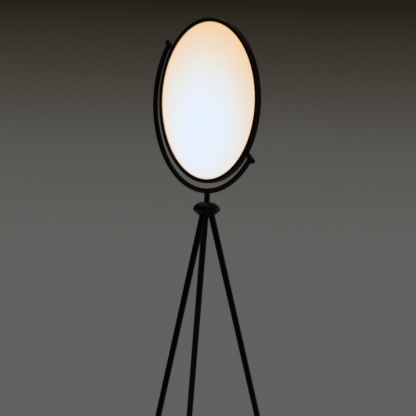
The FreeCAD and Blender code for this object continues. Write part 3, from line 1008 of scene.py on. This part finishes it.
@dataclass
class Yoke:
    """The half ring of tube, its two pivot barrels and the stem below it."""

    pivots: Pivots
    nodes: dict[str, bpy.types.Object]
    disc_radius: float = 200.0 * MM
    gap: float = 12.6 * MM
    tube_radius: float = 6.3 * MM
    barrel_radius: float = 6.5 * MM
    barrel_bore: float = 4.7 * MM
    barrel_start: float = 3.0 * MM
    upper_length: float = 24.3 * MM
    lower_length: float = 27.8 * MM
    washer_gap: float = 0.35 * MM
    washer_radius: float = 5.7 * MM
    screw_bore: float = 3.05 * MM
    cap_head: float = 2.5 * MM
    cap_plug: float = 4.0 * MM
    cap_round: float = 1.8 * MM
    weld: float = 1.1 * MM
    weld_points: int = 40
    tube_sides: int = 48
    bend_steps: int = 144
    stem_radius: float = 7.0 * MM
    stem_bore: float = 2.5 * MM
    stem_exposed: float = 20.1 * MM
    saddle_drop: float = 2.0 * MM
    spigot_radius: float = 5.0 * MM
    shoulder_lift: float = 1.35 * MM
    edge_round: float = 0.4 * MM

    @property
    def ring_radius(self) -> float:
        """The radius of the tube's centre line."""
        return self.disc_radius + self.gap + self.tube_radius

    def build(self) -> None:
        """Builds every piece of the yoke."""
        self.ring()
        for upper, length in ((True, self.upper_length), (False, self.lower_length)):
            self.barrel(upper, length)
            self.cap(upper, length)
            self.washer(upper)
        self.stem()
        redress(self.nodes, ["upper_pivot_bush", "lower_pivot_bush"], BLACK_NYLON)
        redress(self.nodes, ["stop_washer", "swivel_nut"], ZINC_STEEL)
        redress(self.nodes, ["yoke_wire"], WIRE_SKIN)

    def ring(self) -> None:
        """The bent tube, coped on both barrels, with its weld beads."""
        shape = Shape("yoke_tube")
        bm = shape.mesh
        bmesh.ops.create_circle(
            bm, cap_ends=True, segments=self.tube_sides, radius=self.tube_radius)
        start = self.pivots.at(True, self.ring_radius)
        tangent = BACK.cross(self.pivots.axis)
        bm.transform(along(start, tangent))
        bmesh.ops.spin(
            bm, geom=bm.verts[:] + bm.edges[:] + bm.faces[:], cent=self.pivots.centre,
            axis=-BACK, dvec=(0, 0, 0), angle=math.pi, steps=self.bend_steps, use_merge=False,
        )
        shape.tidied()
        cutters = [self._barrel_stock(True), self._barrel_stock(False)]
        shape.carve(cutters)
        shape.add(self._bead(True)).add(self._bead(False))
        shape.dress(POWDER_COAT, Body.YOKE, ["yoke_arc"])

    def _barrel_stock(self, upper: bool) -> Shape:
        """A bar as thick as the barrel, to cope the tube with."""
        stock = Shape.turned("stock", sleeve(0.0, self.barrel_radius, 0.0, self.barrel_radius * 6))
        return self._on_axis(stock, upper, self.barrel_start)

    def _on_axis(self, shape: Shape, upper: bool, gap: float) -> Shape:
        """Puts a turned shape on the pivots' axis, a gap away from the rim."""
        start = self.pivots.at(upper, self.disc_radius + gap)
        return shape.put(along(start, self.pivots.end(upper)))

    def _fit(self, shape: Shape, upper: bool, gap: float, finish: Finish) -> None:
        """Sets a piece of a pivot on the axis and dresses it.

        Args:
            shape: the piece; its name ends in what the node's name ends in.
            upper: which pivot it is at.
            gap: how far from the rim it starts.
            finish: its finish.
        """
        self._on_axis(shape, upper, gap)
        node = side_name(upper) + "_pivot_" + shape.name.split("_")[1]
        shape.dress(finish, Body.YOKE, [node])

    def _bead(self, upper: bool) -> Shape:
        """The weld bead along the saddle where the tube meets a barrel.

        Args:
            upper: which pivot it is at.

        Returns:
            The bead as a closed round cord.
        """
        out = self.pivots.end(upper)
        towards_tube = BACK.cross(out) * (-1.0 if upper else 1.0)
        middle = self.pivots.at(upper, self.ring_radius)
        curve = bpy.data.curves.new("bead", "CURVE")
        curve.dimensions = "3D"
        curve.bevel_depth = self.weld
        curve.bevel_resolution = 3
        count = self.weld_points
        spline = curve.splines.new("NURBS")
        spline.points.add(count - 1)
        for index, point in enumerate(spline.points):
            angle = math.tau * index / count
            side = self.tube_radius * math.sin(angle)
            reach = math.sqrt(self.barrel_radius ** 2 - side ** 2)
            spot = middle + out * (self.tube_radius * math.cos(angle)) + BACK * side
            point.co = (*(spot + towards_tube * reach), 1.0)
        spline.use_cyclic_u = True
        spline.order_u = 3
        holder = bpy.data.objects.new("bead", curve)
        data = bpy.data.meshes.new_from_object(holder)
        shape = Shape("bead")
        shape.mesh.from_mesh(data)
        bpy.data.objects.remove(holder)
        bpy.data.curves.remove(curve)
        bpy.data.meshes.remove(data)
        return shape.tidied()

    def barrel(self, upper: bool, length: float) -> None:
        """One pivot barrel, bored for its bush.

        Args:
            upper: which pivot it is at.
            length: the barrel's length.
        """
        outline = sleeve(self.barrel_bore, self.barrel_radius, 0.0, length)
        shape = Shape.turned(side_name(upper) + "_barrel", outline, STEPS)
        shape.bevel(self.edge_round, 3, where=beyond(self.barrel_bore * 1.1))
        self._fit(shape, upper, self.barrel_start, POWDER_COAT)

    def cap(self, upper: bool, length: float) -> None:
        """The round-edged plug in a barrel's outer end.

        Args:
            upper: which pivot it is at.
            length: the barrel's length.
        """
        outline = [
            (0.0, -self.cap_plug), (self.barrel_bore, -self.cap_plug), (self.barrel_bore, 0.0),
            (self.barrel_radius, 0.0),
        ]
        corner = (self.barrel_radius - self.cap_round, self.cap_head - self.cap_round)
        outline += arc(corner, (self.cap_round, self.cap_round), 0.0, 90.0, 8)
        outline.append((0.0, self.cap_head))
        shape = Shape.turned(side_name(upper) + "_cap", outline, STEPS)
        self._fit(shape, upper, self.barrel_start + length, POWDER_COAT)

    def washer(self, upper: bool) -> None:
        """The friction washer between the rim and a barrel.

        Args:
            upper: which pivot it is at.
        """
        high = self.barrel_start - self.washer_gap
        outline = sleeve(self.screw_bore, self.washer_radius, 0.0, high)
        shape = Shape.turned(side_name(upper) + "_washer", outline).bevel(self.edge_round / 2, 2)
        self._fit(shape, upper, self.washer_gap, BLACK_NYLON)

    def stem(self) -> None:
        """The short stem, saddled under the tube, with its spigot below."""
        tube_bottom = self.pivots.centre.z - self.ring_radius - self.tube_radius
        shoulder = tube_bottom - self.stem_exposed + self.shoulder_lift
        top = tube_bottom + self.tube_radius - self.saddle_drop
        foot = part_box("stem")[0].z
        outline = [
            (self.stem_bore, foot), (self.spigot_radius, foot), (self.spigot_radius, shoulder),
            (self.stem_radius, shoulder), (self.stem_radius, top), (self.stem_bore, top),
        ]
        shape = Shape.turned("stem_post", outline, STEPS).bevel(self.edge_round, 3)
        shape.dress(POWDER_COAT, Body.YOKE, ["stem"])


@dataclass
class Tripod:
    """The domed hub, its bearing, the three legs with their feet and the cable entry."""

    nodes: dict[str, bpy.types.Object]
    rim_height: float
    rim_radius: float = 33.1 * MM
    dome_top: float = 8.0 * MM
    dome_height: float = 19.3 * MM
    dome_wall: float = 3.0 * MM
    dome_top_wall: float = 5.0 * MM
    register: float = 3.0 * MM
    register_width: float = 3.7 * MM
    land: float = 0.8 * MM
    depth: float = 14.2 * MM
    bottom_radius: float = 18.0 * MM
    bulge: Point2 = (27.2 * MM, 6.5 * MM)
    bush_radius: float = 6.55 * MM
    bush_bore: float = 5.05 * MM
    flange_radius: float = 7.5 * MM
    flange: float = 1.0 * MM
    tilt: float = 14.85
    leg_seat: float = 7.0 * MM
    leg_web: float = 3.1 * MM
    leg_top: float = 7.9 * MM
    leg_end: float = 6.2 * MM
    leg_wall: float = 1.5 * MM
    foot_height: float = 14.0 * MM
    foot_lip: float = 0.9 * MM
    foot_plug: float = 16.0 * MM
    foot_shoulder: float = 3.0 * MM
    gland_height: float = 90.0 * MM
    gland_radius: float = 5.0 * MM
    gland_neck: float = 4.0 * MM
    gland_bore: float = 2.8 * MM
    gland_proud: float = 9.0 * MM
    gland_round: float = 1.2 * MM
    gland_ribs: int = 3
    leg_rings: int = 12
    edge_round: float = 0.4 * MM
    azimuths: dict[str, float] = field(
        default_factory=lambda: {"right": 35.2, "left": 155.2, "front": 275.2}
    )

    def build(self) -> None:
        """Builds every piece of the stand."""
        self.dome()
        self.body()
        self.bush()
        for side, azimuth in self.azimuths.items():
            self.leg(side, azimuth)
            self.foot(side, azimuth)
        self.gland()
        redress(self.nodes, ["stop_pin", "leg_plugs"], ZINC_STEEL)
        redress(self.nodes, ["leg_nipples"], TURNED_BRASS)
        redress(self.nodes, ["leg_wire"], WIRE_SKIN)

    def _hub_coat(self) -> BlackCoat:
        """The hub's coat over fine turned lines."""
        return BlackCoat("hub_coat", "black_aluminium", gloss=(0.32, 0.46), lines=Grain.TURNED)

    def dome(self) -> None:
        """The domed cover, bored for the swivel's bush."""
        side = self.rim_radius - self.dome_top
        inner = self.rim_radius - self.dome_wall
        hollow = self.dome_height - self.dome_top_wall
        outline = arc((self.dome_top, 0.0), (side, self.dome_height), 0.0, 90.0, 28)
        outline.append((self.bush_radius, self.dome_height))
        outline.append((self.bush_radius, hollow))
        lift = math.degrees(math.asin(self.register / hollow))
        outline += arc((self.dome_top, 0.0), (inner - self.dome_top, hollow), 90.0, lift, 16)
        outline += [(inner, self.register), (inner, 0.0)]
        shape = Shape.turned("hub_cover", outline, MANY_STEPS)
        shape.bevel(self.edge_round / 2, 3, 50.0, where=beyond(inner))
        shape.raised(self.rim_height)
        shape.dress(self._hub_coat(), Body.TRIPOD, ["hub_dome"])

    def body(self) -> None:
        """The lower half of the hub, with a socket for each leg."""
        inner = self.rim_radius - self.dome_wall
        lip = inner - self.register_width
        outline = [
            (0.0, 0.0), (lip, 0.0), (lip, self.register), (inner, self.register),
            (inner, 0.0), (self.rim_radius, 0.0), (self.rim_radius, -self.land),
        ]
        outline += self._belly(12)
        outline.append((0.0, -self.depth))
        shape = Shape.turned("hub_base", outline, MANY_STEPS)
        shape.raised(self.rim_height)
        cutters = [self._leg_stock(azimuth) for azimuth in self.azimuths.values()]
        shape.carve(cutters)
        shape.bevel(self.edge_round / 2, 2, 40.0, where=on_circle(self.rim_radius))
        shape.dress(self._hub_coat(), Body.TRIPOD, ["hub_body"])

    def _belly(self, count: int) -> list[Point2]:
        """Points of the arc from the rim's land through the bulge to the bottom.

        Args:
            count: how many points follow the land.

        Returns:
            The points, as radius and height.
        """
        first = Vector((self.rim_radius, -self.land))
        middle = Vector((self.bulge[0], -self.bulge[1]))
        last = Vector((self.bottom_radius, -self.depth))
        points = []
        for index in range(1, count + 1):
            share = index / count
            chord = first.lerp(last, share)
            bulge = (middle - first.lerp(last, 0.5)) * (4 * share * (1 - share))
            points.append(tuple(chord + bulge))
        return points

    def _down(self, azimuth: float) -> Vector:
        """The direction down a leg."""
        tilt = math.radians(self.tilt)
        return heading(azimuth) * math.sin(tilt) - UP * math.cos(tilt)

    @property
    def leg_offset(self) -> float:
        """How far a leg's axis is from the stem's axis in the plane of the hub's rim.

        Returns:
            The distance.
        """
        share = 2 * math.sin(math.pi / len(self.azimuths))
        seat = (2 * self.leg_top + self.leg_web) / share
        return seat - self.leg_seat * math.tan(math.radians(self.tilt))

    def _on_leg(self, azimuth: float, height: float) -> Vector:
        """The point of a leg's axis at a height above the floor.

        Args:
            azimuth: where the leg stands, in degrees.
            height: the height.

        Returns:
            The point.
        """
        down = self._down(azimuth)
        crossing = heading(azimuth) * self.leg_offset + UP * self.rim_height
        return crossing + down * ((height - crossing.z) / down.z)

    @property
    def leg_length(self) -> float:
        """The length of a leg's tube."""
        return self._distance_to(self.foot_height)

    @property
    def seat_height(self) -> float:
        """The height of the legs' tops above the floor."""
        return self.rim_height - self.leg_seat

    def _distance_to(self, height: float) -> float:
        """How far down a leg from its top a height above the floor is."""
        return (self.seat_height - height) / math.cos(math.radians(self.tilt))

    def _lay(self, shape: Shape, azimuth: float, height: float) -> Shape:
        """Puts a turned shape on a leg's axis, to run down the leg from a height."""
        return shape.put(along(self._on_leg(azimuth, height), self._down(azimuth)))

    def _radius_at(self, distance: float) -> float:
        """A leg's radius at a distance down from its top."""
        return self.leg_top + (self.leg_end - self.leg_top) * distance / self.leg_length

    def _leg_stock(self, azimuth: float) -> Shape:
        """A bar as thick as the leg, to cut its socket with.

        Args:
            azimuth: where the leg stands, in degrees.

        Returns:
            The bar in its place.
        """
        long = self.depth * 2
        outline = [(0.0, 0.0), (self.leg_top, 0.0), (self._radius_at(long), long), (0.0, long)]
        return self._lay(Shape.turned("stock", outline, STEPS), azimuth, self.seat_height)

    def bush(self) -> None:
        """The flanged bush between the dome and the stem."""
        low, high = -self.dome_top_wall, self.flange
        outline = [
            (self.bush_bore, low), (self.bush_radius, low), (self.bush_radius, 0.0),
            (self.flange_radius, 0.0), (self.flange_radius, high), (self.bush_bore, high),
        ]
        shape = Shape.turned("stem_bush", outline, STEPS).bevel(self.edge_round / 2, 2)
        shape.raised(self.rim_height + self.dome_height)
        shape.dress(BLACK_NYLON, Body.TRIPOD, ["swivel_bush"])

    def leg(self, side: str, azimuth: float) -> None:
        """One tapered leg tube.

        Args:
            side: the leg's name.
            azimuth: where the leg stands, in degrees.
        """
        long, rings = self.leg_length, self.leg_rings
        places = [long * index / rings for index in range(rings + 1)]
        outline = [(self._radius_at(place), place) for place in places]
        outline += [(self._radius_at(place) - self.leg_wall, place) for place in reversed(places)]
        shape = Shape.turned(side + "_leg", outline, STEPS).bevel(self.edge_round, 3)
        self._lay(shape, azimuth, self.seat_height)
        shape.dress(POWDER_COAT, Body.TRIPOD, ["leg_" + side])

    def foot(self, side: str, azimuth: float) -> None:
        """A rubber foot with its sole flat on the floor.

        Args:
            side: the leg's name.
            azimuth: where the leg stands, in degrees.
        """
        collar = self.leg_end + self.foot_lip
        plug = self.leg_end - self.leg_wall
        long = self.foot_height * 2
        outline = [
            (0.0, -self.foot_plug), (plug, -self.foot_plug), (plug, 0.0), (self.leg_end, 0.0),
            (collar, self.foot_shoulder), (collar, long), (0.0, long),
        ]
        shape = Shape.turned(side + "_foot", outline, STEPS)
        shape.bevel(self.edge_round, 3, 10.0, where=self._is_shoulder)
        self._lay(shape, azimuth, self.foot_height).cut_below(0.0)
        shape.bevel(self.edge_round, 3, 40.0, where=at_level(0.0, TOUCHING))
        shape.dress(BLACK_RUBBER, Body.TRIPOD, ["foot_" + side])

    def _is_shoulder(self, edge: bmesh.types.BMEdge) -> bool:
        """Whether an edge goes round the foot where its shoulder ends."""
        collar = on_circle(self.leg_end + self.foot_lip)
        return at_level(self.foot_shoulder)(edge) and collar(edge)

    def gland(self) -> None:
        """The cable entry low on the rear left leg, with a ribbed body."""
        azimuth = self.azimuths["left"]
        surface = self._radius_at(self._distance_to(self.gland_height))
        start = surface - self.leg_wall * 2
        tip = surface + self.gland_proud
        sunk = surface - math.sqrt(surface ** 2 - self.gland_radius ** 2)
        root = surface - sunk
        outline = [(self.gland_bore, start), (self.gland_neck, start), (self.gland_neck, root)]
        outline.append((self.gland_radius, root))
        rib = self.gland_proud / 9
        for index in range(self.gland_ribs):
            low = surface + rib * (1.5 + 2 * index)
            outline += [(self.gland_radius - rib * deep, low + rib * far) for far, deep in GROOVE]
        corner = (self.gland_radius - self.gland_round, tip - self.gland_round)
        outline += arc(corner, (self.gland_round, self.gland_round), 0.0, 90.0, 6)
        outline.append((self.gland_bore, tip))
        shape = Shape.turned("cable_inlet", outline)
        shape.put(along(self._on_leg(azimuth, self.gland_height), heading(azimuth - 90.0)))
        shape.dress(BLACK_NYLON, Body.TRIPOD, ["cable_gland"])


# ---------------------------------------------------------------- the studio
@dataclass(frozen=True)
class Light:
    """Even soft light from one side.

    Attributes:
        name: the light's name.
        source: the direction that it comes from.
        power: what reaches each square metre square to it, in watts.
        spread: how wide the bright source is, in degrees.
        colour: its colour.
    """

    name: str
    source: Point3
    power: float
    spread: float
    colour: Colour

    def build(self) -> None:
        """Puts the light in the scene."""
        data = bpy.data.lights.new(self.name, "SUN")
        data.energy = self.power
        data.angle = math.radians(self.spread)
        data.color = self.colour
        holder = show(self.name, data)
        holder.rotation_euler = Vector(self.source).to_track_quat("Z", "Y").to_euler()
        holder.visible_camera = False


LIGHTS = (
    Light("overhead_light", (0.0, 0.0, 1.0), 0.370, 80.0, (0.930, 0.948, 1.0)),
    Light("side_light", (0.38, 0.90, 0.24), 0.20, 26.0, (1.0, 0.88, 0.55)),
    Light("rear_light", (-0.62, 0.80, 0.30), 0.16, 30.0, (0.95, 0.97, 1.0)),
)


@dataclass
class Studio:
    """A plain pale floor, soft light and the camera.

    Attributes:
        target: the disc's centre, which the camera's place is counted from.
        distance: the camera's distance from the lamp's axis.
        azimuth: how far the camera stands round to the right of the lit face, in degrees.
        drop: how far the camera is above the disc's centre (below when negative).
        pitch: the camera's tilt upwards, in degrees.
        yaw: the camera's small turn to the left, in degrees.
        roll: the camera's roll, in degrees.
        lens: focal length in millimetres.
        sensor: the sensor's width in millimetres.
        far: the furthest that the camera sees, in metres.
        floor_half: half the floor's width.
        horizon: the height of direction at which the surround starts to darken.
        fade: how far up it takes to be darkest.
        backdrop: the surround's colours from the horizon up.
    """

    target: Vector
    distance: float = 10.0527
    azimuth: float = 52.91
    drop: float = -0.368
    pitch: float = 0.615
    yaw: float = -0.017
    roll: float = 1.368
    lens: float = 360.0
    sensor: float = 36.0
    far: float = 200.0
    floor_half: float = 12.0
    horizon: float = 0.003
    fade: float = 0.057
    backdrop: Stops = (
        (0.00, (0.122, 0.121, 0.116)),
        (0.40, (0.098, 0.094, 0.084)),
        (0.70, (0.056, 0.050, 0.040)),
        (1.00, (0.017, 0.015, 0.009)),
    )

    def build(self) -> None:
        """Sets up camera, floor and light."""
        self.camera()
        self.floor()
        self.world()
        for light in LIGHTS:
            light.build()

    def camera(self) -> None:
        """The camera, on a long lens from the right of the lit face."""
        turn, pitch, roll = (math.radians(a) for a in (self.azimuth, self.pitch, self.roll))
        side = Vector((math.sin(turn), -math.cos(turn), 0.0))
        spot = self.target + side * self.distance + UP * self.drop
        level = Matrix.Rotation(math.radians(self.yaw), 3, "Z") @ -side
        look = level * math.cos(pitch) + UP * math.sin(pitch)
        right = level.cross(UP).normalized()
        upward = right.cross(look)
        rolled_right = right * math.cos(roll) + upward * math.sin(roll)
        rolled_up = upward * math.cos(roll) - right * math.sin(roll)
        basis = Matrix((rolled_right, rolled_up, -look)).transposed().to_4x4()
        data = bpy.data.cameras.new("camera")
        data.lens = self.lens
        data.sensor_width = self.sensor
        data.clip_end = self.far
        holder = show("camera", data)
        holder.matrix_world = Matrix.Translation(spot) @ basis
        bpy.context.scene.camera = holder

    def floor(self) -> None:
        """The pale floor."""
        bm = bmesh.new()
        bmesh.ops.create_grid(bm, x_segments=4, y_segments=4, size=self.floor_half)
        data = bpy.data.meshes.new("floor")
        bm.to_mesh(data)
        bm.free()
        data.materials.append(StudioFloor("studio_floor", "").material())
        show("floor", data)

    def world(self) -> None:
        """A plain grey surround that darkens upwards, and true colours."""
        world = bpy.data.worlds.new("surround")
        bpy.context.scene.world = world
        graph = Graph(world)
        direction = graph.node("ShaderNodeTexCoord", {}, {}).outputs["Generated"]
        rise = graph.split(direction)[2]
        shade = graph.ramp((rise - self.horizon) / self.fade, self.backdrop)
        sky = graph.node("ShaderNodeBackground", {}, {"Color": shade})
        graph.node("ShaderNodeOutputWorld", {}, {"Surface": sky.outputs["Background"]})
        bpy.context.scene.view_settings.view_transform = "Standard"


def joint(frame: dict, name: str) -> dict:
    """The frame's joint with a name."""
    return next(j for j in frame["joints"] if j["name"] == name)


def main() -> None:
    """Loads the frame and builds the lamp and its studio in order."""
    logging.basicConfig(level=logging.INFO, format="%(name)s: %(message)s")
    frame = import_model()
    turn = joint(frame, "head_turn")
    pivots = Pivots(Vector(turn["pos_m"]), Vector(turn["axis"]).normalized())
    rim_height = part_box("hub_dome")[0].z
    Studio(pivots.centre).build()
    nodes = frame["nodes"]
    for part in (Head(pivots, nodes), Yoke(pivots, nodes), Tripod(nodes, rim_height)):
        LOG.info("building the %s", type(part).__name__.lower())
        part.build()


if __name__ == "__main__":
    main()
